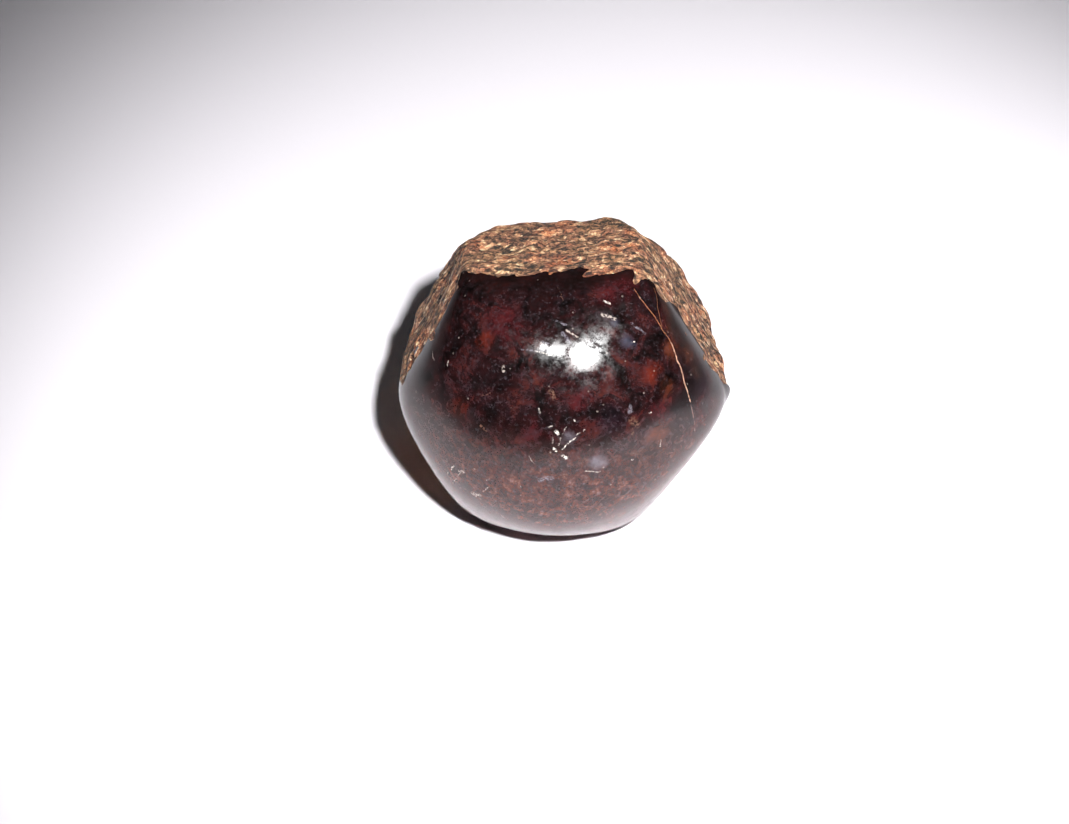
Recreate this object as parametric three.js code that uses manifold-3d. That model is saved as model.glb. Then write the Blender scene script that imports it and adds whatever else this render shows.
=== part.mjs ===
// Star ruby crystal, in millimetres, +Z up, resting on its lowest prism face.
// A stubby six-sided corundum crystal that narrows towards its broken end. The other end is ground
// to a smooth dome. The prism faces keep their rough natural skin.
//
// The shape is worked out in the crystal's own frame: s runs along the crystal's axis towards the
// dome's tip, x across it to the right, and u across it upwards. Its origin is the crystal's heart.
import * as THREE from "three";
import { mergeVertices } from "three/addons/utils/BufferGeometryUtils.js";
import Module from "manifold-3d";

// --- Driving dimensions -------------------------------------------------------------------------

// How far the dome's tip is raised, in degrees: the lowest face's taper, so that this face is level.
const AXIS_RISE = 9.8;

// The prism faces, in order round the axis. bearing is the way a face looks, in degrees from +x
// towards +u. reach is its distance from the crystal's heart. taper is how far it leans in towards
// the broken end, in degrees.
const PRISM_FACES = [
  { name: "right_upper", bearing: 32, reach: 16.55, taper: 9.2 },
  { name: "top", bearing: 97.8, reach: 16.1, taper: 4.5 },
  { name: "left_upper", bearing: 153, reach: 16.25, taper: -0.6 },
  { name: "left_lower", bearing: 208.5, reach: 16.25, taper: 8.7 },
  { name: "lowest", bearing: 270, reach: 15.8, taper: AXIS_RISE },
  { name: "right_lower", bearing: 329.5, reach: 15.2, taper: 11.1 },
];

// The ground and polished dome.
const DOME_BASE = 0.6; // where the dome begins on the axis
const DOME_HEIGHT = 13.55; // from its base to its tip
const DOME_OVERHANG = 0.07; // how far its base stands out past the prism faces
const DOME_BASE_SQUARENESS = 15; // the power that rounds the six corners at the base: 2 is a circle
const DOME_BACK_FLARE = 0.02; // how fast the grinding runs out behind the base, per mm
const WORN_CORNER = { bearing: 181, reach: 17.65 }; // the flat ground along the left corner
const BLUNT_CORNER = { bearing: 66, reach: 18.7 }; // the narrow face along the top right corner

// The broken end. It parts in steps across the axis. Each step lies level at s = level, on the side
// of the crystal that looks along bearing, further from the axis than edge. Nearer the axis it falls
// away backwards to the next step, by slope mm for each mm.
const BROKEN_END = -16.8;
const PARTING_STEPS = [
  { name: "top_step", bearing: 95, level: -11.9, edge: 13, slope: 1.2 },
  { name: "left_step", bearing: 158, level: -11.3, edge: 13.4, slope: 1.0 },
  { name: "middle_step", bearing: 135, level: -14.3, edge: -0.2, slope: 1.25 },
  { name: "low_step", bearing: 240, level: -15.5, edge: 6.6, slope: 1.6 },
  { name: "low_chip", bearing: 300, level: -13.6, edge: 14.6, slope: 1.4 },
  { name: "right_chip", bearing: 52, level: -7.4, edge: 17.6, slope: 2.3 },
  { name: "left_chip", bearing: 130, level: -8.0, edge: 18.1, slope: 1.9 },
];

// The relief of the rough skin. Depths are measured inwards from its highest places, which stand
// proud of the prism faces. Pits sink in where the noise of their size passes their threshold.
const SKIN_STANDS_PROUD = 0.2;
const LUMPS = { size: 3.4, depth: 0.55 };
const GRIT = { size: 1.5, depth: 0.25 };
const PITS = { size: 2.7, threshold: 0.72, depth: 2.4 };
const GROWTH_LEDGES = { pitch: 2.3, depth: 0.32, waver: 1.4 };
const KNOB = { x: 4.2, u: 16, s: -11.4, radius: 2.6, height: 0.55 };

// How much of the skin has worn off the lowest face, where the stone lies flat.
const WEAR = 0.22;

// Mesh fineness.
const CELLS_ACROSS_FACE = 15;
const SKIN_RING_PITCH = 1.05;
const SKIN_FRONT = 5; // no skin is left in front of this s
const COLUMNS_ROUND_DOME = 96;
const RINGS_ON_DOME = 21;

// --- Small helpers ------------------------------------------------------------------------------

const radians = THREE.MathUtils.degToRad;
const steps = (count) => Array.from({ length: count }, (_, i) => i);

// A repeatable value from 0 to 1 for each corner of a lattice.
function latticeValue(i, j, k) {
  let h = Math.imul(i, 374761393) + Math.imul(j, 668265263) + Math.imul(k, 2147483647);
  h = Math.imul(h ^ (h >>> 13), 1274126177);
  return ((h ^ (h >>> 16)) >>> 0) / 4294967295;
}

// Smooth noise from 0 to 1, whose lumps are about one size across.
function noise(x, u, s, size) {
  const cell = [x, u, s].map((v) => Math.floor(v / size));
  const part = [x, u, s].map((v, i) => THREE.MathUtils.smootherstep(v / size - cell[i], 0, 1));
  let sum = 0;
  for (const corner of steps(8)) {
    const bit = [corner & 1, (corner >> 1) & 1, corner >> 2];
    const weight = bit.reduce((w, b, i) => w * (b ? part[i] : 1 - part[i]), 1);
    sum += weight * latticeValue(...cell.map((c, i) => c + bit[i]));
  }
  return sum;
}

// A closed skin over rings of points that all have one count, with a pole point at each end. The
// rings run from front to back and each one turns from +x towards +u.
function closedSkin(frontPole, rings, backPole) {
  const round = rings[0].length;
  const points = [frontPole, ...rings.flat(), backPole];
  const last = points.length - 1;
  const at = (ring, column) => 1 + ring * round + (column % round);
  const triangles = [];
  for (const c of steps(round)) {
    triangles.push(0, at(0, c), at(0, c + 1));
    for (const r of steps(rings.length - 1)) {
      triangles.push(at(r, c), at(r + 1, c), at(r + 1, c + 1));
      triangles.push(at(r, c), at(r + 1, c + 1), at(r, c + 1));
    }
    triangles.push(last, at(rings.length - 1, c + 1), at(rings.length - 1, c));
  }
  // The crystal's s points towards -Y here, and its u towards +Z.
  const geometry = new THREE.BufferGeometry();
  const flat = points.flatMap(({ x, u, s }) => [x, -s, u]);
  geometry.setAttribute("position", new THREE.Float32BufferAttribute(flat, 3));
  geometry.setIndex(triangles);
  return geometry;
}

// A direction given in the crystal's own frame.
const directionOf = ({ x, u, s }) => new THREE.Vector3(x, -s, u).normalize();

// A block that fills all behind a plane, which looks along direction at a distance from the heart.
function blockBehind(direction, distance) {
  const size = 100;
  const box = new THREE.BoxGeometry(size, size, size);
  box.translate(0, 0, distance - size / 2);
  const turn = new THREE.Quaternion().setFromUnitVectors(new THREE.Vector3(0, 0, 1), direction);
  return box.applyQuaternion(turn);
}

// All that a flat along one of the prism's corners leaves.
function alongCorner({ bearing, reach }) {
  const way = directionOf({ x: Math.cos(radians(bearing)), u: Math.sin(radians(bearing)), s: 0 });
  return blockBehind(way, reach);
}

// --- The rough crystal --------------------------------------------------------------------------

// A prism face's distance from the axis, where the section at s cuts it.
const faceDistance = ({ reach, taper }, s) =>
  (reach + s * Math.sin(radians(taper))) / Math.cos(radians(taper));

// Where two neighbouring faces meet in the section at s.
function prismCorner(face, next, s) {
  const [a, b] = [radians(face.bearing), radians(next.bearing)];
  const [da, db] = [faceDistance(face, s), faceDistance(next, s)];
  const det = Math.sin(b - a);
  return {
    x: (da * Math.sin(b) - db * Math.sin(a)) / det,
    u: (db * Math.cos(a) - da * Math.cos(b)) / det,
  };
}

// The skin's depth below the bare faces at a place: lumps, grit, pits, growth ledges and the knob.
function skinDepth({ x, u, s }) {
  const lump = LUMPS.depth * noise(x, u, s, LUMPS.size) ** 2;
  const grit = GRIT.depth * noise(x, u, s, GRIT.size);
  const pit = PITS.depth * Math.max(0, noise(u, s, x, PITS.size) - PITS.threshold);
  const waver = GROWTH_LEDGES.waver * noise(x, u, 0, 2 * LUMPS.size);
  const climb = THREE.MathUtils.euclideanModulo((s + waver) / GROWTH_LEDGES.pitch, 1);
  const ledge = GROWTH_LEDGES.depth * climb ** 3;
  const knobDistance = Math.hypot(x - KNOB.x, u - KNOB.u, s - KNOB.s) / KNOB.radius;
  const knob = KNOB.height * Math.max(0, 1 - knobDistance ** 2);
  return lump + grit + pit + ledge - knob - SKIN_STANDS_PROUD;
}

// The prism's outline at s as points on its bare faces: each face is divided evenly.
function prismSection(s) {
  const faces = PRISM_FACES.length;
  return PRISM_FACES.flatMap((face, i) => {
    const before = prismCorner(PRISM_FACES[(i + faces - 1) % faces], face, s);
    const after = prismCorner(face, PRISM_FACES[(i + 1) % faces], s);
    return steps(CELLS_ACROSS_FACE).map((n) => {
      const t = n / CELLS_ACROSS_FACE;
      const x = THREE.MathUtils.lerp(before.x, after.x, t);
      const u = THREE.MathUtils.lerp(before.u, after.u, t);
      return { x, u, s };
    });
  });
}

// Moves a point on the bare prism in by the skin's depth.
function roughened(point) {
  const away = Math.hypot(point.x, point.u);
  const keep = 1 - skinDepth(point) / away;
  return { x: point.x * keep, u: point.u * keep, s: point.s };
}

// The rough crystal before its front is ground and its back end breaks off.
function roughCrystal() {
  const front = DOME_BASE + DOME_HEIGHT + 1;
  const back = BROKEN_END - 1;
  const pitches = Math.ceil((SKIN_FRONT - back) / SKIN_RING_PITCH);
  const along = steps(pitches + 1).map((n) => THREE.MathUtils.lerp(SKIN_FRONT, back, n / pitches));
  const rings = [front, ...along].map((s) => prismSection(s).map(roughened));
  return closedSkin({ x: 0, u: 0, s: front }, rings, { x: 0, u: 0, s: back });
}

// What has broken away over one parting step: it lies behind the step and behind its falling side.
function brokenAway({ bearing, level, edge, slope }) {
  const side = directionOf({
    x: -slope * Math.cos(radians(bearing)),
    u: -slope * Math.sin(radians(bearing)),
    s: 1,
  });
  const behindStep = blockBehind(directionOf({ x: 0, u: 0, s: 1 }), level);
  const behindSide = blockBehind(side, (level - slope * edge) / Math.hypot(slope, 1));
  return toSolid(behindStep).intersect(toSolid(behindSide));
}

// --- The ground dome ----------------------------------------------------------------------------

// The dome's radius along a bearing at s: six-sided with rounded corners at its base, and round
// towards its tip. Behind the base it widens slowly, so the grinding runs out on the corners.
function domeRadius(bearing, s) {
  const rise = Math.max(0, (s - DOME_BASE) / DOME_HEIGHT);
  const power = 2 + (DOME_BASE_SQUARENESS - 2) * (1 - rise) ** 2;
  const sum = PRISM_FACES.reduce((total, face) => {
    const facing = Math.cos(radians(bearing - face.bearing));
    const distance = faceDistance(face, DOME_BASE) + DOME_OVERHANG;
    return total + Math.max(0, facing / distance) ** power;
  }, 0);
  // With two neighbours at sixty degrees, this puts the middle of each side at its face's distance.
  const evenSides = (1 + 2 * 0.5 ** power) ** (1 / power);
  const flare = 1 + DOME_BACK_FLARE * Math.max(0, DOME_BASE - s);
  return (evenSides / sum ** (1 / power)) * Math.sqrt(1 - rise ** 2) * flare;
}

function groundDome() {
  const ring = (s) =>
    steps(COLUMNS_ROUND_DOME).map((column) => {
      const bearing = (360 * column) / COLUMNS_ROUND_DOME;
      const radius = domeRadius(bearing, s);
      return { x: radius * Math.cos(radians(bearing)), u: radius * Math.sin(radians(bearing)), s };
    });
  const dome = steps(RINGS_ON_DOME).map((n) => {
    const angle = (Math.PI / 2) * (1 - (n + 1) / RINGS_ON_DOME);
    return ring(DOME_BASE + DOME_HEIGHT * Math.sin(angle));
  });
  const behind = [DOME_BASE - 3, DOME_BASE - 6, 2 * BROKEN_END].map(ring);
  const tip = { x: 0, u: 0, s: DOME_BASE + DOME_HEIGHT };
  return closedSkin(tip, [...dome, ...behind], { x: 0, u: 0, s: 2 * BROKEN_END });
}

// --- Joins and cuts -----------------------------------------------------------------------------

const wasm = await Module();
wasm.setup();

function toSolid(geometry) {
  const bare = geometry.clone();
  bare.deleteAttribute("normal");
  bare.deleteAttribute("uv");
  const merged = mergeVertices(bare, 1e-4);
  return new wasm.Manifold(
    new wasm.Mesh({
      numProp: 3,
      vertProperties: new Float32Array(merged.attributes.position.array),
      triVerts: new Uint32Array(merged.index.array),
    }),
  );
}

function toGeometry(solid) {
  const mesh = solid.getMesh();
  const geometry = new THREE.BufferGeometry();
  geometry.setAttribute("position", new THREE.BufferAttribute(mesh.vertProperties, 3));
  geometry.setIndex(new THREE.BufferAttribute(mesh.triVerts, 1));
  return geometry;
}

// --- The stone ----------------------------------------------------------------------------------

function starRubyCrystal() {
  const lean = radians(-AXIS_RISE);
  const levelWay = new THREE.Vector3(0, 0, -1).applyAxisAngle(new THREE.Vector3(1, 0, 0), -lean);
  const lowest = PRISM_FACES.find((face) => face.name === "lowest");
  const kept = [
    groundDome(),
    alongCorner(WORN_CORNER),
    alongCorner(BLUNT_CORNER),
    blockBehind(directionOf({ x: 0, u: 0, s: -1 }), -BROKEN_END),
    blockBehind(levelWay, lowest.reach - WEAR),
  ];
  const ground = kept.reduce((stone, cut) => stone.intersect(toSolid(cut)), toSolid(roughCrystal()));
  const stone = PARTING_STEPS.reduce((left, step) => left.subtract(brokenAway(step)), ground);
  const geometry = toGeometry(stone).rotateX(lean);
  // The origin is on the ground under the middle of the stone.
  geometry.computeBoundingBox();
  const middle = geometry.boundingBox.getCenter(new THREE.Vector3());
  geometry.translate(-middle.x, -middle.y, -geometry.boundingBox.min.z);
  geometry.computeVertexNormals();
  const ruby = new THREE.MeshStandardMaterial({ color: 0x4a1c1c, roughness: 0.3, metalness: 0 });
  const mesh = new THREE.Mesh(geometry, ruby);
  mesh.name = "star_ruby_crystal";
  return mesh;
}

const specimen = new THREE.Group();
specimen.add(starRubyCrystal());

export default specimen;
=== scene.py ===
import math

import bpy
from mathutils import Euler, Matrix, Vector


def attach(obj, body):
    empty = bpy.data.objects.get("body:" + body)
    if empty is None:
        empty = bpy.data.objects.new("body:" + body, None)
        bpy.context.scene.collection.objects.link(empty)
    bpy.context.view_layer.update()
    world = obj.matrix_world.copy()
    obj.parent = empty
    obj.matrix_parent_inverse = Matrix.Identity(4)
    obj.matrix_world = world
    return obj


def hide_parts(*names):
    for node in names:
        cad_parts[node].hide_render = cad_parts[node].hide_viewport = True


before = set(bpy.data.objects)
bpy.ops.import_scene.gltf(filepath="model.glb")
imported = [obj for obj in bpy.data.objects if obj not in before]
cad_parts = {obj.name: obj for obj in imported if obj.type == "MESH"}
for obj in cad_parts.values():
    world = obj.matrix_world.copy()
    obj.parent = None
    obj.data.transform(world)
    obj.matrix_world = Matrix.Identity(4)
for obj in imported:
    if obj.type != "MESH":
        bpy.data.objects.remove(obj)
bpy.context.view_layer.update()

# A star ruby crystal, lying on its lowest prism face. It is modelled in millimetres in the crystal's
# own frame: X across it, -Y along its axis towards the dome's tip, Z up across it, with the
# crystal's heart at the origin. At the end it is scaled to metres, leaned and set in its place.

# --- Driving dimensions, in millimetres and degrees ----------------------------------------------

MM = 0.001
AXIS_RISE = 9.8  # how far the dome's tip is raised
HEART_HEIGHT = 15.58  # above the table
HEART_FROM_MIDDLE = (-0.47, -1.85)  # where the heart stands beside the middle of the stone
HEART = Vector((*HEART_FROM_MIDDLE, HEART_HEIGHT)) * MM
LEAN = Euler((math.radians(-AXIS_RISE), 0, 0))

# bearing, reach and taper of each prism face, in order round the axis
PRISM_FACES = {
    "right_upper": (32, 16.55, 9.2),
    "top": (97.8, 16.1, 4.5),
    "left_upper": (153, 16.25, -0.6),
    "left_lower": (208.5, 16.25, 8.7),
    "lowest": (270, 15.8, AXIS_RISE),
    "right_lower": (329.5, 15.2, 11.1),
}
DOME_BASE = 0.6  # along the axis, ahead of the heart
DOME_HEIGHT = 13.55
DOME_OVERHANG = 0.07  # past each prism face, at the base
DOME_BASE_SQUARENESS = 15  # 2 is round, and more is nearer to a sharp hexagon
DOME_BACK_FLARE = 0.02  # per millimetre behind the base
DOME_SUBDIVISIONS = 7
BEHIND_BROKEN_END = 6  # the ground shape runs on this far past the broken end
BACK_CLOSES_FROM = 0.9  # the share of its back length after which it rounds off
LEVEL = 0.9999  # how nearly straight down a face of the foot looks
SMOOTH_SHADING_ANGLE = 60
WORN_CORNER = (181, 17.65)  # bearing and reach of the flat along the left corner
BLUNT_CORNER = (66, 18.7)  # and of the narrow face along the top right corner

BROKEN_END = -16.8
# bearing, level, edge and slope of each parting step
PARTING_STEPS = {
    "top_step": (95, -11.9, 13, 1.2),
    "left_step": (158, -11.3, 13.4, 1.0),
    "middle_step": (135, -14.3, -0.2, 1.25),
    "low_step": (240, -15.5, 6.6, 1.6),
    "low_chip": (300, -13.6, 14.6, 1.4),
    "right_chip": (52, -7.4, 17.6, 2.3),
    "left_chip": (130, -8.0, 18.1, 1.9),
}

SKIN_ALLOWANCE = 0.55  # the bare faces stand this far in, and the relief builds out from there
EDGE_WEAR, SPIKE_WEAR = 8, 5  # passes of smoothing, before and after the relief
SKIN_GRAIN = 0.21  # the width of a cell of the modelled skin
ROUGH_BLOCK = 80  # the side of the block that each rough shape is cut from
AHEAD_OF_DOME = 2  # the rough crystal runs on this far past the dome's tip
KNOB_CENTRE = (4.2, 11.4, 14.2)
KNOB_HALF_SIZE = (2.1, 1.5, 1.4)  # before the relief builds it out
KNOB_SUBDIVISIONS = 4

SILK_AND_REFLECTION_TOP, SILK_AND_REFLECTION_FULL = 6, -5  # heights on the crystal between which its milky silk, with a painted reflection of the table on the lower side, sets in

POLISHED, ROUGH = 0, 1  # material slots of the stone

# --- The view and the light, in millimetres, degrees and watts -----------------------------------

IMAGE_SIZE = (1069, 824)
FOCAL_PIXELS = 2545  # the lens's focal length, in pixels of the frame
SENSOR_WIDTH = 36
VIEW_AZIMUTH, VIEW_ELEVATION = 5.05, 46
CAMERA_DISTANCE = 280  # from the heart, along the view
HEART_FROM_VIEW_CENTRE = (2.75, 1.99)  # to the right and up

LAMP_DISTANCE = 290
LAMP_OFF_VIEW = (8.6, 7.8)  # to the right and up, seen from the stone
LAMP_RADIUS = 9
# Small round lamps beside it, which only the gloss mirrors. They draw out its highlight to the left.
# Each has millimetres to the right and up, a radius and watts.
GLINTS = {
    "glint_middle": (0, 11, 9, 3.4),
    "glint_right": (19, -6, 9, 3.4),
    "glint_left": (-30, 28, 8, 2.6),
    "glint_streak": (-85, 42, 4, 1.3),
    "glint_streak_middle": (-118, 57, 3, 1.2),
    "glint_streak_end": (-155, 74, 3, 0.8),
}
BEAM_CENTRE = (18.6, -10.8, 0)  # on the table
BEAM_ANGLE, BEAM_BLEND, BEAM_POWER = 40.8, 0.74, 6.9
SPILL_ANGLE, SPILL_BLEND, SPILL_POWER = 100, 0.6, 1.2
FILL_DIRECTION, FILL_SIZE, FILL_POWER = (0.75, 0.7, 0.45), 300, 0.12
WORLD_STRENGTH = 0.012
TABLE_SIZE = 2000

# --- Marks on the polish, each placed by the pixel of the frame where it shows --------------------

# the stone's own colours, what fills its pits and scratches, and the pale and grey of the painted
# glints by the highlight
BLACK, BLUE_BLACK, WINE, ORANGE_RED, RUST, BROWN, STEEL = (
    "#080506", "#100f18", "#451418", "#5e1f12", "#5c2c18", "#4a2a1c", "#3c4456",
)
DUST_AND_DIM_GLINT, PALE_DUST_AND_GLINT, TAN, GREY = "#a89c94", "#e6dcd2", "#644a3e", "#67626a"

# the pixel at the middle of each zone of colour within the stone, its radius and its colour
COLOUR_ZONES = {
    "top": ((545, 293), 3.4, BLACK),
    "middle": ((498, 380), 2.0, BLACK),
    "lower_left": ((500, 415), 1.8, BLACK),
    "below_middle": ((612, 420), 1.3, BLUE_BLACK),
    "by_right_corner": ((701, 383), 1.4, BLUE_BLACK),
    "top_red": ((612, 290), 1.6, WINE),
    "upper_left_red": ((505, 324), 1.8, WINE),
    "left_fire": ((486, 341), 0.9, ORANGE_RED),
    "far_left_fire": ((457, 407), 1.0, ORANGE_RED),
    "middle_red": ((580, 402), 1.1, WINE),
    "lower_red": ((536, 434), 1.4, WINE),
    "right_red": ((660, 408), 1.3, WINE),
    "right_fire": ((652, 372), 1.0, ORANGE_RED),
    "fire_by_crack": ((668, 386), 0.9, RUST),
    "steel": ((628, 341), 0.7, STEEL),
    "steel_above": ((614, 322), 0.5, STEEL),
    "brown_by_crack": ((672, 350), 1.1, RUST),
    "brown_right": ((660, 436), 1.3, RUST),
    "cluster_haze": ((568, 437), 0.7, GREY),
    "low_smear": ((597, 464), 0.9, GREY),
    "brown_by_skin": ((668, 306), 1.2, BROWN),
    "brown_between_cracks": ((674, 326), 1.2, BROWN),
    "brown_below_it": ((688, 350), 1.2, BROWN),
    "brown_low": ((697, 372), 0.8, BROWN),
    "red_at_top_right": ((628, 284), 1.0, WINE),
}
# pixels at both ends, half width and colour of each hollow in the polish: pits and scratches
HOLLOWS = {
    "pit_by_middle": ((539, 409), (540, 413), 0.11, PALE_DUST_AND_GLINT),
    "pit_right_of_it": ((574, 420), (575, 421), 0.09, PALE_DUST_AND_GLINT),
    "cluster_top": ((556, 431), (558, 434), 0.16, PALE_DUST_AND_GLINT),
    "cluster_left": ((549, 427), (552, 426), 0.1, DUST_AND_DIM_GLINT),
    "cluster_edge": ((553, 437), (553, 443), 0.09, DUST_AND_DIM_GLINT),
    "cluster_low": ((553, 449), (556, 451), 0.18, PALE_DUST_AND_GLINT),
    "cluster_foot": ((563, 456), (567, 458), 0.2, PALE_DUST_AND_GLINT),
    "cluster_scratch": ((562, 449), (580, 433), 0.08, PALE_DUST_AND_GLINT),
    "cluster_second_scratch": ((566, 427), (558, 445), 0.07, DUST_AND_DIM_GLINT),
    "cluster_third_scratch": ((570, 441), (585, 430), 0.07, DUST_AND_DIM_GLINT),
    "left_scratch": ((432, 351), (434, 360), 0.06, DUST_AND_DIM_GLINT),
    "left_pit": ((448, 361), (448, 366), 0.08, PALE_DUST_AND_GLINT),
    "right_pit": ((649, 413), (651, 413), 0.09, PALE_DUST_AND_GLINT),
    "small_right_pit": ((641, 396), (641, 397), 0.06, PALE_DUST_AND_GLINT),
    "low_right_pit": ((632, 460), (634, 459), 0.09, PALE_DUST_AND_GLINT),
    "low_pit": ((520, 486), (520, 487), 0.07, PALE_DUST_AND_GLINT),
    "low_left_scratch": ((447, 474), (454, 466), 0.08, PALE_DUST_AND_GLINT),
    "low_left_scratch_2": ((452, 484), (461, 473), 0.07, DUST_AND_DIM_GLINT),
    "low_left_scratch_3": ((460, 488), (489, 479), 0.05, DUST_AND_DIM_GLINT),
    "low_left_scratch_4": ((476, 497), (489, 487), 0.07, DUST_AND_DIM_GLINT),
    "low_scratch": ((529, 456), (534, 464), 0.08, DUST_AND_DIM_GLINT),
    "streak_by_low_smear": ((586, 471), (599, 472), 0.1, DUST_AND_DIM_GLINT),
    "right_scratch": ((661, 440), (660, 447), 0.08, DUST_AND_DIM_GLINT),
}
# pixels at both ends, half width and colour of each stain and rubbed place, and of each painted glint
STAINS_AND_PAINTED_GLINTS = {
    # painted highlight: the bright streak and bits that draw the lamp's highlight out to the left and
    # up
    "painted_highlight_streak": ((536, 351), (552, 355), 0.1, PALE_DUST_AND_GLINT),
    "painted_glint_above_highlight": ((556, 321), (566, 324), 0.12, GREY),
    "painted_glint_above_highlight_3": ((562, 333), (570, 343), 0.2, GREY),
    "painted_glint_above_highlight_2": ((567, 330), (577, 337), 0.12, DUST_AND_DIM_GLINT),
    "painted_highlight_tail": ((519, 349), (548, 352), 0.1, GREY),
    "small_painted_glint": ((541, 341), (549, 344), 0.1, GREY),
    # stains and smears
    "above_pit": ((551, 392), (553, 398), 0.3, TAN),
    "left_of_pit": ((503, 366), (504, 371), 0.17, DUST_AND_DIM_GLINT),
    "lower_left": ((481, 426), (486, 431), 0.16, TAN),
    "left_arc": ((476, 392), (481, 396), 0.06, TAN),
    "left_arc_end": ((481, 396), (490, 393), 0.06, TAN),
    "right_upper": ((630, 407), (630, 412), 0.25, GREY),
    "right": ((632, 420), (637, 425), 0.4, TAN),
    "right_foot": ((632, 430), (633, 434), 0.2, TAN),
    # the next three are painted highlights: specks of the lamp's light
    "top_glint": ((604, 301), (609, 304), 0.12, PALE_DUST_AND_GLINT),
    "upper_glint": ((602, 314), (616, 319), 0.16, DUST_AND_DIM_GLINT),
    "steel_glint": ((632, 342), (634, 342), 0.1, PALE_DUST_AND_GLINT),
    "violet_arc": ((631, 323), (645, 333), 0.12, GREY),
    "low_left_patch": ((460, 472), (463, 471), 0.25, DUST_AND_DIM_GLINT),
    "low_left_patch_2": ((473, 494), (480, 495), 0.3, DUST_AND_DIM_GLINT),
    "low_smear": ((540, 480), (551, 478), 0.3, GREY),
    "top_line": ((557, 286), (563, 300), 0.05, TAN),
}
# the healed crack in three parts, tan at the skin and paler further down, and a fainter one beside it:
# the pixels along each, its half width, its colour and how strongly it shows
CRACKS = {
    "crack_at_skin": (
        ((634, 289), (640, 298), (646, 306), (655, 317), (662, 329), (671, 342)), 0.055, "#a06c4c", 0.8,
    ),
    "crack_middle": (
        ((671, 342), (678, 362), (681, 369), (685, 384), (690, 402)), 0.075, "#d0a48c", 0.9,
    ),
    "crack_foot": (((690, 402), (693, 414), (695, 433)), 0.055, "#a0807a", 0.6),
    "side_crack": (((654, 288), (656, 294), (658, 310), (662, 328)), 0.05, "#84583f", 0.6),
}

# --- Patterns of the two finishes: how wide their grains are, in millimetres -----------------------

CLOUD, MOTTLE, VEIL, POWDER, CRUMB = 2.6, 1.2, 1.3, 0.35, 0.22
SPECK_SPACING = 1.5
SMEAR, WAVER, FACET = 1.1, 3, 0.6
# Real mica flakes and grains of skin go down to a few hundredths. The finest are drawn coarser.
FLAKE, CHIP = (0.9, 0.5, 0.9), (0.3, 0.26, 0.3)  # across, along and up the crystal
SKIN_SPECKLE, SKIN_PATCH = 0.45, 2.8
# Corundum's own refraction is 1.76, but hairline scratches hold back what its worn polish mirrors.
WORN_POLISH_REFRACTION, SKIN_REFRACTION = 1.48, 1.5


# --- Modelling helpers ---------------------------------------------------------------------------

def only(piece):
    bpy.ops.object.select_all(action="DESELECT")
    piece.select_set(True)
    bpy.context.view_layer.objects.active = piece
    return piece


def finish_with(piece, kind, **settings):
    """Adds a modifier to a piece and applies it."""
    only(piece)
    modifier = piece.modifiers.new(kind.lower(), kind)
    for name, value in settings.items():
        setattr(modifier, name, value)
    bpy.ops.object.modifier_apply(modifier=modifier.name)


def slice_off(piece, direction, distance):
    """Cuts away all of a piece beyond a plane, which looks along direction, and closes the cut."""
    only(piece)
    bpy.ops.object.mode_set(mode="EDIT")
    bpy.ops.mesh.select_all(action="SELECT")
    bpy.ops.mesh.bisect(
        plane_co=direction.normalized() * distance,
        plane_no=direction.normalized(),
        use_fill=True,
        clear_outer=True,
    )
    bpy.ops.object.mode_set(mode="OBJECT")


def block(name):
    bpy.ops.object.select_all(action="DESELECT")
    bpy.ops.mesh.primitive_cube_add(size=ROUGH_BLOCK)
    piece = bpy.context.active_object
    piece.name = name
    return piece


def face_direction(bearing, taper=0.0):
    """Which way a prism face looks."""
    b, t = math.radians(bearing), math.radians(taper)
    return Vector((math.cos(t) * math.cos(b), math.sin(t), math.cos(t) * math.sin(b)))


def surface_slot(piece, slot):
    for polygon in piece.data.polygons:
        polygon.material_index = slot


# --- The rough crystal ---------------------------------------------------------------------------

def broken_away(name, bearing, level, edge, slope):
    """What has parted from the crystal's back end over one step: all behind its level, and behind a
    slope that runs on from its edge."""
    b = math.radians(bearing)
    piece = block(name)
    slice_off(piece, Vector((0, -1, 0)), level + SKIN_ALLOWANCE)
    side = Vector((-slope * math.cos(b), -1, -slope * math.sin(b)))
    slice_off(piece, side, (level - slope * edge) / side.length + SKIN_ALLOWANCE)
    return piece


def relief(piece, kind, size, height, stretch=(1, 1, 1), seed=0.0, ramp=None, **texture_settings):
    """Builds a procedural relief on a piece, up to height, or sinks it in if that is less than 0. Its
    grains are size wide, times stretch."""
    texture = bpy.data.textures.new(f"{kind.lower()}_{size}", kind)
    texture.noise_scale = 1.0
    for name, value in texture_settings.items():
        setattr(texture, name, value)
    if ramp:
        texture.use_color_ramp = True
        low, high = texture.color_ramp.elements
        low.position, high.position = ramp
        low.color, high.color = (0, 0, 0, 1), (1, 1, 1, 1)
    bpy.ops.object.select_all(action="DESELECT")
    bpy.ops.object.empty_add(location=(seed, 2 * seed, 3 * seed))
    grain = bpy.context.active_object
    grain.scale = [size * s for s in stretch]
    bpy.context.view_layer.update()
    finish_with(
        piece, "DISPLACE", texture=texture, texture_coords="OBJECT", texture_coords_object=grain,
        strength=height, mid_level=0.0,
    )
    bpy.data.objects.remove(grain)
    bpy.data.textures.remove(texture)


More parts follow.
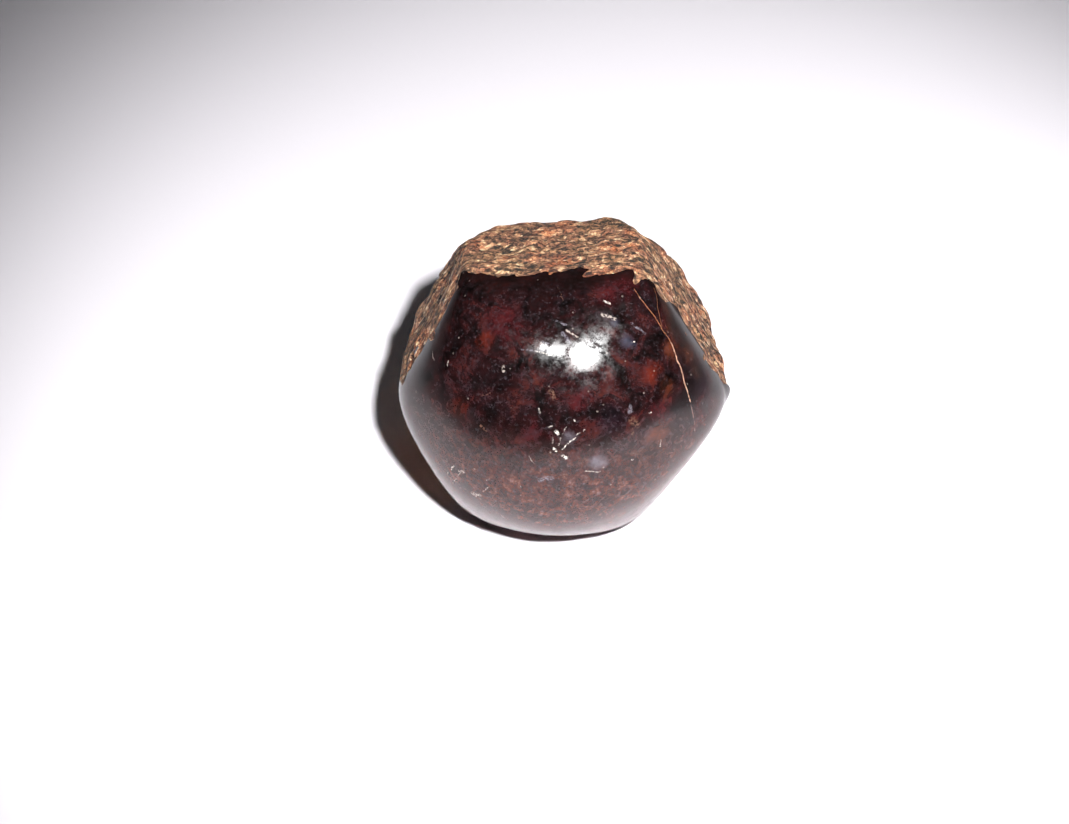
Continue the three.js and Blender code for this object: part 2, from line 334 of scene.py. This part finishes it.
def rough_crystal():
    crystal = block("rough_crystal")
    for bearing, reach, taper in PRISM_FACES.values():
        slice_off(crystal, face_direction(bearing, taper), reach - SKIN_ALLOWANCE)
    slice_off(crystal, face_direction(BLUNT_CORNER[0]), BLUNT_CORNER[1] - SKIN_ALLOWANCE)
    slice_off(crystal, Vector((0, 1, 0)), -BROKEN_END - SKIN_ALLOWANCE)
    slice_off(crystal, Vector((0, -1, 0)), DOME_BASE + DOME_HEIGHT + AHEAD_OF_DOME)
    bpy.ops.object.select_all(action="DESELECT")
    bpy.ops.mesh.primitive_ico_sphere_add(
        subdivisions=KNOB_SUBDIVISIONS, location=KNOB_CENTRE, scale=KNOB_HALF_SIZE,
    )
    knob = bpy.context.active_object
    finish_with(crystal, "BOOLEAN", operation="UNION", object=knob, solver="EXACT")
    bpy.data.objects.remove(knob)
    for name, step in PARTING_STEPS.items():
        away = broken_away(name, *step)
        finish_with(crystal, "BOOLEAN", operation="DIFFERENCE", object=away, solver="EXACT")
        bpy.data.objects.remove(away)
    finish_with(crystal, "REMESH", mode="VOXEL", voxel_size=SKIN_GRAIN)
    finish_with(crystal, "SMOOTH", factor=0.6, iterations=EDGE_WEAR)
    # Broad lumps, ledges across the faces, seams between the flakes, fine grain, and pits.
    relief(crystal, "CLOUDS", 3.4, 0.7, noise_depth=1)
    relief(crystal, "CLOUDS", 1.3, 0.45, stretch=(2.4, 1.1, 2.4), seed=7.3, noise_depth=2)
    relief(crystal, "VORONOI", 1.3, -0.2, stretch=(1.4, 0.9, 1.4), seed=3.1, distance_metric="DISTANCE")
    relief(crystal, "CLOUDS", 0.7, 0.16, seed=11.9, noise_depth=1)
    relief(crystal, "CLOUDS", 1.5, -0.5, seed=5.7, ramp=(0.66, 0.85))
    finish_with(crystal, "SMOOTH", factor=0.5, iterations=SPIKE_WEAR)
    surface_slot(crystal, ROUGH)
    return crystal


# --- The ground dome -----------------------------------------------------------------------------

def face_distance(reach, taper, s):
    """How far a prism face stands from the axis, at s along it."""
    t = math.radians(taper)
    return (reach + s * math.sin(t)) / math.cos(t)


def dome_radius(bearing, s):
    """Six-sided with rounded corners at the base, round towards the tip, flaring slowly behind."""
    rise = min(1.0, max(0.0, (s - DOME_BASE) / DOME_HEIGHT))
    power = 2 + (DOME_BASE_SQUARENESS - 2) * (1 - rise) ** 2
    total = 0.0
    for face_bearing, reach, taper in PRISM_FACES.values():
        facing = math.cos(bearing - math.radians(face_bearing))
        distance = face_distance(reach, taper, DOME_BASE) + DOME_OVERHANG
        total += max(0.0, facing / distance) ** power
    even_sides = (1 + 2 * 0.5 ** power) ** (1 / power)
    flare = 1 + DOME_BACK_FLARE * max(0.0, DOME_BASE - s)
    return even_sides / total ** (1 / power) * math.sqrt(1 - rise ** 2) * flare


def ground_dome():
    bpy.ops.object.select_all(action="DESELECT")
    bpy.ops.mesh.primitive_ico_sphere_add(subdivisions=DOME_SUBDIVISIONS, radius=1)
    dome = bpy.context.active_object
    dome.name = "ground_dome"
    back = DOME_BASE - BROKEN_END + BEHIND_BROKEN_END
    for vertex in dome.data.vertices:
        x, y, z = vertex.co
        s = DOME_BASE - y * (DOME_HEIGHT if y < 0 else back)
        round_axis = math.hypot(x, z)
        bearing = math.atan2(z, x)
        radius = dome_radius(bearing, s)
        # behind the base the sphere's own narrowing is taken out, so the sides run on as a flare
        if y > 0:
            radius *= min(1.0, round_axis / math.sqrt(1 - y * y) if y < 1 else 0.0)
            if y > BACK_CLOSES_FROM:
                closing = (y - BACK_CLOSES_FROM) / (1 - BACK_CLOSES_FROM)
                radius *= math.sqrt(max(0.0, 1 - closing ** 2))
        vertex.co = (radius * math.cos(bearing), -s, radius * math.sin(bearing))
    surface_slot(dome, POLISHED)
    return dome


def ground_shape():
    """All that grinding and wear have left: the dome, the left corner's flat and the level foot."""
    shape = ground_dome()
    slice_off(shape, face_direction(WORN_CORNER[0]), WORN_CORNER[1])
    foot = Vector((0, 0, -1))
    foot.rotate(LEAN.to_matrix().inverted())
    slice_off(shape, foot, HEART_HEIGHT)
    for polygon in shape.data.polygons:
        if polygon.normal.dot(foot) > LEVEL:
            polygon.material_index = ROUGH
    return shape


def sharpen_polish_edge(piece):
    """Keeps the shading of the polish apart from that of the skin."""
    only(piece)
    bpy.ops.object.mode_set(mode="EDIT")
    bpy.ops.mesh.select_mode(type="FACE")
    bpy.ops.mesh.select_all(action="DESELECT")
    piece.active_material_index = POLISHED
    bpy.ops.object.material_slot_select()
    bpy.ops.mesh.region_to_loop()
    bpy.ops.mesh.mark_sharp()
    bpy.ops.object.mode_set(mode="OBJECT")


def stone():
    piece = rough_crystal()
    shape = ground_shape()
    finish_with(piece, "BOOLEAN", operation="INTERSECT", object=shape, solver="MANIFOLD")
    bpy.data.objects.remove(shape)
    piece.name = "star_ruby_stone"
    piece.scale = (MM, MM, MM)
    piece.rotation_euler = LEAN
    piece.location = HEART
    only(piece)
    bpy.ops.object.transform_apply()
    return piece


# --- The camera ----------------------------------------------------------------------------------

def view_basis():
    """Which way right, up and back point for the camera."""
    a, e = math.radians(VIEW_AZIMUTH), math.radians(VIEW_ELEVATION)
    back = Vector((math.sin(a) * math.cos(e), -math.cos(a) * math.cos(e), math.sin(e)))
    right = Vector((math.cos(a), math.sin(a), 0))
    return right, back.cross(right), back


def set_up_camera():
    right, up, back = view_basis()
    data = bpy.data.cameras.new("camera")
    data.sensor_width = SENSOR_WIDTH
    data.lens = SENSOR_WIDTH * FOCAL_PIXELS / IMAGE_SIZE[0]
    data.clip_start, data.clip_end = 0.01, 10
    camera = bpy.data.objects.new("camera", data)
    bpy.context.collection.objects.link(camera)
    aside, above = HEART_FROM_VIEW_CENTRE
    eye = HEART + (back * CAMERA_DISTANCE - right * aside - up * above) * MM
    camera.matrix_world = Matrix.Translation(eye) @ Matrix((right, up, back)).transposed().to_4x4()
    bpy.context.scene.camera = camera
    bpy.context.view_layer.update()


def on_stone(piece, pixel):
    """The place on the stone that shows at a pixel of the frame, in the crystal's own frame."""
    right, up, back = view_basis()
    across = (pixel[0] - IMAGE_SIZE[0] / 2) / FOCAL_PIXELS
    down = (pixel[1] - IMAGE_SIZE[1] / 2) / FOCAL_PIXELS
    line = (right * across - up * down - back).normalized()
    hit, place, _, _ = piece.ray_cast(bpy.context.scene.camera.location, line)
    if not hit:
        raise ValueError(f"nothing of the stone shows at {pixel}")
    return LEAN.to_matrix().inverted() @ (place - HEART) / MM


# --- Materials -----------------------------------------------------------------------------------

def linear(hex_colour):
    """An sRGB hex colour as linear RGBA."""
    values = [int(hex_colour[i:i + 2], 16) / 255 for i in (1, 3, 5)]
    return [v / 12.92 if v <= 0.04045 else ((v + 0.055) / 1.055) ** 2.4 for v in values] + [1.0]


def add(tree, kind, inputs, out=0, stops=None, **settings):
    """Adds a node with its settings, colour stops and links, and gives back one of its outputs."""
    node = tree.nodes.new("ShaderNode" + kind)
    for name, value in settings.items():
        setattr(node, name, value)
    for key, value in inputs.items():
        if isinstance(value, bpy.types.NodeSocket):
            tree.links.new(value, node.inputs[key])
        else:
            node.inputs[key].default_value = linear(value) if isinstance(value, str) else value
    if stops:
        elements = node.color_ramp.elements
        while len(elements) < len(stops):
            elements.new(0.5)
        for element, (position, colour) in zip(elements, stops.items()):
            element.position, element.color = position, linear(colour)
    return node.outputs[out]


# the sockets of a Mix node that mixes colours
MIX, A, B, MIXED = 0, 6, 7, 2
SMOOTH = {"interpolation_type": "SMOOTHSTEP"}
COLOUR = {"data_type": "RGBA", "out": MIXED}


def new_material(name):
    """A material, its node tree, its shader, and places in millimetres in the crystal's own frame."""
    material = bpy.data.materials.new(name)
    material.use_nodes = True
    tree = material.node_tree
    upright = LEAN.to_matrix().inverted()
    place = add(tree, "Mapping", {
        "Vector": add(tree, "TexCoord", {}, out="Object"),
        "Location": -(upright @ HEART) / MM,
        "Rotation": upright.to_euler(),
        "Scale": (1 / MM, 1 / MM, 1 / MM),
    })
    return material, tree, tree.nodes["Principled BSDF"], place


def shifted(tree, place, size, distance):
    """Places moved about by noise, so that what is drawn on them has a ragged edge."""
    noise = add(tree, "TexNoise", {"Vector": place, "Scale": 1 / size, "Detail": 3}, out="Color")
    noise = add(tree, "VectorMath", {0: noise, 1: (0.5, 0.5, 0.5)}, operation="SUBTRACT")
    by = (2 * distance, 2 * distance, 2 * distance)
    return add(tree, "VectorMath", {0: noise, 1: by, 2: place}, operation="MULTIPLY_ADD")


def near_spot(tree, place, centre, radius):
    """1 close to a place, fading to 0 somewhat beyond its radius."""
    far = add(tree, "VectorMath", {0: place, 1: centre}, out="Value", operation="DISTANCE")
    limits = {"From Min": 1.7 * radius, "From Max": 0.3 * radius}
    return add(tree, "MapRange", {"Value": far, **limits}, **SMOOTH)


def near_line(tree, place, start, end, half_width):
    """1 along a straight line from start to end, fading to 0 just beyond its half width."""
    along = end - start
    from_start = add(tree, "VectorMath", {0: place, 1: start}, operation="SUBTRACT")
    share = add(
        tree, "VectorMath", {0: from_start, 1: along / along.length_squared}, out="Value",
        operation="DOT_PRODUCT",
    )
    share = add(tree, "Clamp", {"Value": share})
    nearest = add(tree, "VectorMath", {0: tuple(along), "Scale": share}, operation="SCALE")
    far = add(tree, "VectorMath", {0: from_start, 1: nearest}, out="Value", operation="DISTANCE")
    limits = {"From Min": 1.3 * half_width, "From Max": 0.4 * half_width}
    return add(tree, "MapRange", {"Value": far, **limits}, **SMOOTH)


def furthest(tree, operation, values):
    """The greatest (MAXIMUM) or least (MINIMUM) of several values."""
    found = values[0]
    for value in values[1:]:
        found = add(tree, "Math", {0: found, 1: value}, operation=operation)
    return found


def depth_below_faces(tree, place):
    """How deep the polish has cut below the nearest prism face, in millimetres."""
    depths = []
    for bearing, reach, taper in PRISM_FACES.values():
        facing = face_direction(bearing, taper)
        out = add(tree, "VectorMath", {0: place, 1: facing}, out="Value", operation="DOT_PRODUCT")
        depths.append(add(tree, "Math", {0: reach, 1: out}, operation="SUBTRACT"))
    return furthest(tree, "MINIMUM", depths)


def corundum_within(tree, piece, place):
    """The colours that the polish shows within the stone."""
    # wine-red clouds in a nearly black body
    clouds = add(tree, "TexNoise", {
        "Vector": place, "Scale": 1 / CLOUD, "Detail": 8, "Roughness": 0.68, "Distortion": 0.6,
    })
    body = add(tree, "ValToRGB", {"Fac": clouds}, stops={
        0.36: "#060404", 0.45: "#120808", 0.53: "#220e0f", 0.61: "#361615", 0.72: "#4c2219",
    })

    # silk, with a painted reflection of the white table: a milky, mottled red-brown haze that fills the
    # lower side
    height = add(tree, "SeparateXYZ", {"Vector": shifted(tree, place, 4, 1.5)}, out="Z")
    limits = {"From Min": SILK_AND_REFLECTION_TOP, "From Max": SILK_AND_REFLECTION_FULL, "To Max": 0.75}
    silk_and_painted_reflection = add(tree, "MapRange", {"Value": height, **limits}, **SMOOTH)
    mottling = add(tree, "TexNoise", {
        "Vector": place, "Scale": 1 / MOTTLE, "Detail": 8, "Roughness": 0.9,
    })
    silk_and_reflection_colours = add(tree, "ValToRGB", {"Fac": mottling}, stops={
        0.38: "#0e0707", 0.45: "#2b120f", 0.52: "#4e251c", 0.58: "#74402f", 0.66: "#9a7c76",
    })
    body = add(tree, "Mix", {MIX: silk_and_painted_reflection, A: body, B: silk_and_reflection_colours}, **COLOUR)

    # zones of colour, torn up by the same clouds
    drifting = shifted(tree, shifted(tree, place, 1.6, 0.9), 0.5, 0.35)
    patchy = {"Value": clouds, "From Min": 0.38, "From Max": 0.62, "To Min": 0.1, "To Max": 0.72}
    patchy = add(tree, "MapRange", patchy)
    for pixel, radius, colour in COLOUR_ZONES.values():
        mask = near_spot(tree, drifting, on_stone(piece, pixel), radius)
        mask = add(tree, "Math", {0: mask, 1: patchy}, operation="MULTIPLY")
        body = add(tree, "Mix", {MIX: mask, A: body, B: colour}, **COLOUR)

    # thin veils of grey-violet silk
    veils = add(tree, "TexNoise", {
        "Vector": drifting, "Scale": 1 / VEIL, "Detail": 6, "Roughness": 0.7, "Distortion": 0.8,
    })
    veil = add(tree, "MapRange", {"Value": veils, "From Min": 0.5, "From Max": 0.72, "To Max": 0.5})
    body = add(tree, "Mix", {MIX: veil, A: body, B: "#3a2a2f"}, **COLOUR)

    # fine grey powder, thickest in the silk and painted reflection of the lower side, and here and
    # there a pale speck
    fine = add(tree, "TexNoise", {
        "Vector": place, "Scale": 1 / POWDER, "Detail": 3, "Roughness": 0.6,
    })
    most = add(tree, "Math", {0: silk_and_painted_reflection, 1: 0.6, 2: 0.2}, operation="MULTIPLY_ADD")
    limits = {"From Min": 0.54, "From Max": 0.8, "To Max": most}
    powder = add(tree, "MapRange", {"Value": fine, **limits})
    body = add(tree, "Mix", {MIX: powder, A: body, B: GREY}, **COLOUR)
    speck = add(tree, "TexVoronoi", {"Vector": place, "Scale": 1 / SPECK_SPACING}, out="Distance")
    limits = {"From Min": 0.09, "From Max": 0.04, "To Max": 0.4}
    speck = add(tree, "MapRange", {"Value": speck, **limits})
    body = add(tree, "Mix", {MIX: speck, A: body, B: DUST_AND_DIM_GLINT}, **COLOUR)

    # the strip beside the skin, where the wheel has barely cut, is darker
    depth = depth_below_faces(tree, drifting)
    strip = add(tree, "MapRange", {"Value": depth, "From Min": 0.9, "From Max": 0.1, "To Max": 0.6})
    return add(tree, "Mix", {MIX: strip, A: body, B: "#140b09"}, **COLOUR)


def with_marks(tree, piece, place, body):
    """Adds stains and painted highlights beside the lamp's highlight, then pits and scratches that hold
    pale polishing dust. Gives the colours with them, and 1 where there is a pit or a scratch."""
    ragged = shifted(tree, shifted(tree, place, 0.7, 0.25), 0.2, 0.1)
    crumbs = add(tree, "TexNoise", {
        "Vector": place, "Scale": 1 / CRUMB, "Detail": 2, "Roughness": 0.6,
    })
    torn = add(tree, "MapRange", {"Value": crumbs, "From Min": 0.42, "From Max": 0.58})
    masks = []
    for start, end, half_width, colour in (*STAINS_AND_PAINTED_GLINTS.values(), *HOLLOWS.values()):
        mask = near_line(tree, ragged, on_stone(piece, start), on_stone(piece, end), half_width)
        masks.append(mask)
        mask = add(tree, "Math", {0: mask, 1: torn}, operation="MULTIPLY")
        body = add(tree, "Mix", {MIX: mask, A: body, B: colour}, **COLOUR)
    return body, furthest(tree, "MAXIMUM", masks[len(STAINS_AND_PAINTED_GLINTS):])


def with_cracks(tree, piece, place, body):
    """Adds the healed cracks to the colours."""
    wavering = shifted(tree, shifted(tree, place, 0.9, 0.14), 0.25, 0.06)
    for pixels, half_width, colour, strength in CRACKS.values():
        points = [on_stone(piece, pixel) for pixel in pixels]
        parts = [
            near_line(tree, wavering, start, end, half_width) for start, end in zip(points, points[1:])
        ]
        mask = furthest(tree, "MAXIMUM", parts)
        mask = add(tree, "Math", {0: mask, 1: strength}, operation="MULTIPLY")
        body = add(tree, "Mix", {MIX: mask, A: body, B: colour}, **COLOUR)
    return body


def polished_corundum(piece):
    """Star ruby, ground and polished on a wheel. It looks almost black with wine-red depths, and has
    a hard gloss that mirrors the table in its lower side."""
    material, tree, shader, place = new_material("polished_corundum")
    body = corundum_within(tree, piece, place)
    body, hollow = with_marks(tree, piece, place, body)
    body = with_cracks(tree, piece, place, body)
    tree.links.new(body, shader.inputs["Base Color"])

    # smears left by the wheel dull the gloss in patches
    smears = add(tree, "TexNoise", {
        "Vector": place, "Scale": 1 / SMEAR, "Detail": 8, "Roughness": 0.75,
    })
    limits = {"From Min": 0.38, "From Max": 0.62, "To Min": 0.08, "To Max": 0.25}
    gloss = add(tree, "MapRange", {"Value": smears, **limits}, **SMOOTH)
    gloss = add(tree, "Math", {0: hollow, 1: 0.4, 2: gloss}, operation="MULTIPLY_ADD")
    tree.links.new(gloss, shader.inputs["Roughness"])

    # heights in millimetres: a slow waver, fine facets, pits and scratches
    waver = add(tree, "TexNoise", {"Vector": place, "Scale": 1 / WAVER, "Detail": 1})
    facets = add(tree, "TexNoise", {"Vector": place, "Scale": 1 / FACET, "Detail": 2})
    height = add(tree, "Math", {0: waver, 1: 0.007}, operation="MULTIPLY")
    height = add(tree, "Math", {0: facets, 1: 0.003, 2: height}, operation="MULTIPLY_ADD")
    height = add(tree, "Math", {0: hollow, 1: -0.03, 2: height}, operation="MULTIPLY_ADD")
    bump = add(tree, "Bump", {"Height": height, "Distance": MM})
    tree.links.new(bump, shader.inputs["Normal"])
    shader.inputs["IOR"].default_value = WORN_POLISH_REFRACTION
    return material


def natural_skin():
    """The skin a ruby crystal grows in mica schist: dull pink-brown, with cream flakes of mica and
    dark specks pressed into it. It scatters light, and only its flakes glint."""
    material, tree, shader, place = new_material("natural_mica_skin")

    # flakes lie along the growth ledges, each of its own shade, with chips and speckle between them
    warped = shifted(tree, place, 1.5, 0.4)
    shades = []
    for size in (FLAKE, CHIP):
        lying = add(tree, "Mapping", {"Vector": warped, "Scale": [1 / side for side in size]})
        shade = add(tree, "TexVoronoi", {"Vector": lying, "Scale": 1}, out="Color")
        shades.append(add(tree, "SeparateColor", {"Color": shade}, out="Red"))
    flakes, chips = shades
    speckle = add(tree, "TexNoise", {
        "Vector": place, "Scale": 1 / SKIN_SPECKLE, "Detail": 6, "Roughness": 0.85,
    })
    mixed = add(tree, "Math", {0: chips, 1: 0.9, 2: flakes}, operation="MULTIPLY_ADD")
    mixed = add(tree, "Math", {0: speckle, 1: 3.4, 2: mixed}, operation="MULTIPLY_ADD")
    mixed = add(tree, "MapRange", {"Value": mixed, "From Min": 1.3, "From Max": 4.0})
    colour = add(tree, "ValToRGB", {"Fac": mixed}, stops={
        0.24: "#231c16", 0.36: "#564133", 0.47: "#8f6c56",
        0.6: "#b98c70", 0.73: "#deb68e", 0.85: "#fbf0d2",
    })

    # rusty, pink and olive patches a few millimetres wide
    broad = add(tree, "TexNoise", {
        "Vector": warped, "Scale": 1 / SKIN_PATCH, "Detail": 5, "Roughness": 0.6,
    })
    patch = add(tree, "ValToRGB", {"Fac": broad}, stops={
        0.36: "#5e6450", 0.46: "#7e786e", 0.54: "#9a7c74", 0.64: "#c8784c",
    })
    colour = add(tree, "Mix", {MIX: 0.85, A: colour, B: patch}, blend_type="SOFT_LIGHT", **COLOUR)

    # painted shade in the hollows, and painted light with some wear on what stands up
    bend = add(tree, "NewGeometry", {}, out="Pointiness")
    limits = {"From Min": 0.495, "From Max": 0.43, "To Max": 0.75}
    hollow = add(tree, "MapRange", {"Value": bend, **limits})
    colour = add(tree, "Mix", {MIX: hollow, A: colour, B: "#1f150f"}, **COLOUR)
    limits = {"From Min": 0.52, "From Max": 0.59, "To Max": 0.45}
    painted_light_on_crests = add(tree, "MapRange", {"Value": bend, **limits})
    colour = add(tree, "Mix", {MIX: painted_light_on_crests, A: colour, B: "#d9b38a"}, **COLOUR)
    tree.links.new(colour, shader.inputs["Base Color"])

    # a few of the flakes glint
    glint = {"From Min": 0.7, "From Max": 1.0, "To Min": 0.85, "To Max": 0.4}
    tree.links.new(add(tree, "MapRange", {"Value": flakes, **glint}), shader.inputs["Roughness"])

    # heights in millimetres
    height = add(tree, "Math", {0: flakes, 1: 0.06}, operation="MULTIPLY")
    height = add(tree, "Math", {0: chips, 1: 0.04, 2: height}, operation="MULTIPLY_ADD")
    height = add(tree, "Math", {0: speckle, 1: 0.2, 2: height}, operation="MULTIPLY_ADD")
    bump = add(tree, "Bump", {"Height": height, "Distance": MM})
    tree.links.new(bump, shader.inputs["Normal"])
    shader.inputs["IOR"].default_value = SKIN_REFRACTION
    return material


# --- Table and light -----------------------------------------------------------------------------

def lay_table():
    """A table with a matt white top."""
    bpy.ops.object.select_all(action="DESELECT")
    bpy.ops.mesh.primitive_plane_add(size=TABLE_SIZE * MM)
    table = bpy.context.active_object
    table.name = "table"
    material, _, shader, _ = new_material("matt_white_laminate")
    shader.inputs["Base Color"].default_value = linear("#efebf1")
    shader.inputs["Roughness"].default_value = 0.9
    shader.inputs["Specular IOR Level"].default_value = 0.2
    table.data.materials.append(material)


def hang_lamp(name, kind, place, aim, power, **settings):
    """Hangs a lamp at a place, aimed at another."""
    data = bpy.data.lights.new(name, kind)
    data.energy = power
    for setting, value in settings.items():
        setattr(data, setting, value)
    lamp = bpy.data.objects.new(name, data)
    bpy.context.collection.objects.link(lamp)
    lamp.location = place
    lamp.rotation_euler = (place - aim).to_track_quat("Z", "Y").to_euler()
    return lamp


def light_stone():
    right, up, back = view_basis()
    aside, above = [math.tan(math.radians(angle)) for angle in LAMP_OFF_VIEW]
    place = HEART + (back + right * aside + up * above).normalized() * LAMP_DISTANCE * MM
    aim = Vector(BEAM_CENTRE) * MM
    for name, angle, blend, power in (
        ("lamp", BEAM_ANGLE, BEAM_BLEND, BEAM_POWER),
        ("lamp_spill", SPILL_ANGLE, SPILL_BLEND, SPILL_POWER),
    ):
        lamp = hang_lamp(
            name, "SPOT", place, aim, power, spot_size=math.radians(angle), spot_blend=blend,
            shadow_soft_size=LAMP_RADIUS * MM,
        )
        lamp.visible_glossy = False
    for name, (across, upward, radius, power) in GLINTS.items():
        at = place + (right * across + up * upward) * MM
        glint = hang_lamp(name, "POINT", at, aim, power, shadow_soft_size=radius * MM)
        glint.visible_diffuse = False
    place = HEART + Vector(FILL_DIRECTION).normalized() * LAMP_DISTANCE * 2 * MM
    fill = hang_lamp("back_fill", "AREA", place, HEART, FILL_POWER, size=FILL_SIZE * MM)
    fill.visible_glossy = False
    world = bpy.data.worlds.new("dim_studio")
    world.use_nodes = True
    world.node_tree.nodes["Background"].inputs["Color"].default_value = linear("#d8d4dc")
    world.node_tree.nodes["Background"].inputs["Strength"].default_value = WORLD_STRENGTH
    bpy.context.scene.world = world
    bpy.context.scene.view_settings.view_transform = "Standard"


# --- The scene -----------------------------------------------------------------------------------

set_up_camera()
ruby = stone()
while len(ruby.data.materials) < 2:
    ruby.data.materials.append(None)
ruby.data.materials[POLISHED] = polished_corundum(ruby)
ruby.data.materials[ROUGH] = natural_skin()
sharpen_polish_edge(ruby)
only(ruby)
bpy.ops.object.shade_smooth_by_angle(angle=math.radians(SMOOTH_SHADING_ANGLE), keep_sharp_edges=True)
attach(ruby, "root")
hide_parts("star_ruby_crystal")
lay_table()
light_stone()
